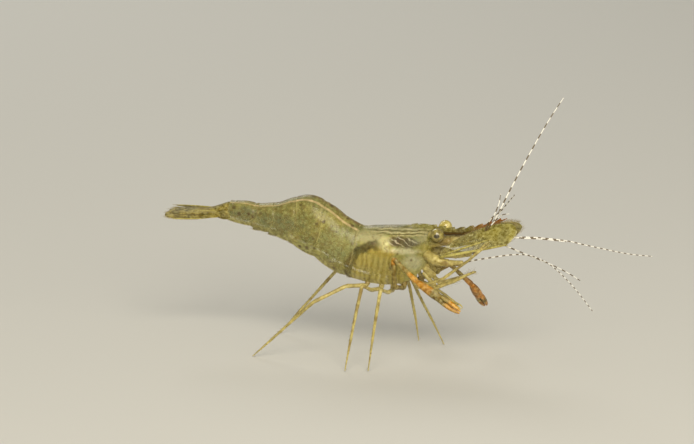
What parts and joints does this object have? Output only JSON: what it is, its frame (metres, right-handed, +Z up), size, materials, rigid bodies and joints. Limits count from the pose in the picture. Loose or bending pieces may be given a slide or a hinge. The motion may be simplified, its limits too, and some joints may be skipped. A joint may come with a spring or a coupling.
{
  "type": "glass shrimp",
  "caption": "Freshwater glass shrimp standing on its walking legs: humped banded abdomen, toothed rostrum, paddle-shaped antennal scales, orange claws and long banded feelers.",
  "frame": {"origin": "centre of the bounding box's footprint, on the floor", "axes": "+X to the head, +Y to the animal's left side, +Z up"},
  "size_m": [0.0676, 0.0392, 0.0391],
  "materials": {
    "shell": "glossy, milky translucent",
    "fin": "glossy, clear amber",
    "limb": "satin, translucent",
    "claw": "satin orange bands",
    "feeler": "satin, banded white",
    "cornea": "wet gloss",
    "mouth": "satin"
  },
  "bodies": {
    "root": {"abdomen_ring_1": "shell", "abdomen_ring_2": "shell", "abdomen_ring_3": "shell", "abdomen_ring_4": "shell", "abdomen_ring_5": "shell", "abdomen_ring_6": "shell", "antenna_base_left": "limb", "antenna_base_right": "limb", "antenna_flagellum_left_far": "feeler", "antenna_flagellum_left_near": "feeler", "antenna_flagellum_right_far": "feeler", "antenna_flagellum_right_near": "feeler", "antennal_scale_left": "fin", "antennal_scale_right": "fin", "antennule_inner_flagellum_left": "feeler", "antennule_inner_flagellum_right": "feeler", "antennule_left": "limb", "antennule_outer_flagellum_left": "feeler", "antennule_outer_flagellum_right": "feeler", "antennule_right": "limb", "carapace": "shell", "claw_arm_left_lower": "claw", "claw_arm_left_upper": "limb", "claw_arm_right_lower": "claw", "claw_arm_right_upper": "limb", "claw_left": "claw", "claw_right": "claw", "eye_left": "cornea", "eye_right": "cornea", "eyestalk_left": "shell", "eyestalk_right": "shell", "leg_1_left": "limb", "leg_1_right": "limb", "leg_3_left_lower": "limb", "leg_3_left_upper": "limb", "leg_3_right_lower": "limb", "leg_3_right_upper": "limb", "leg_4_left_lower": "limb", "leg_4_left_upper": "limb", "leg_4_right_lower": "limb", "leg_4_right_upper": "limb", "leg_5_left_lower": "limb", "leg_5_left_upper": "limb", "leg_5_right_lower": "limb", "leg_5_right_upper": "limb", "maxilliped_left": "limb", "maxilliped_right": "limb", "mouthparts": "mouth", "swimmerets_1": "fin", "swimmerets_2": "fin", "swimmerets_3": "fin", "swimmerets_4": "fin", "swimmerets_5": "fin", "telson": "fin", "uropod_base_left": "shell", "uropod_base_right": "shell", "uropod_inner_left": "fin", "uropod_inner_right": "fin", "uropod_outer_left": "fin", "uropod_outer_right": "fin"}
  },
  "joints": []
}
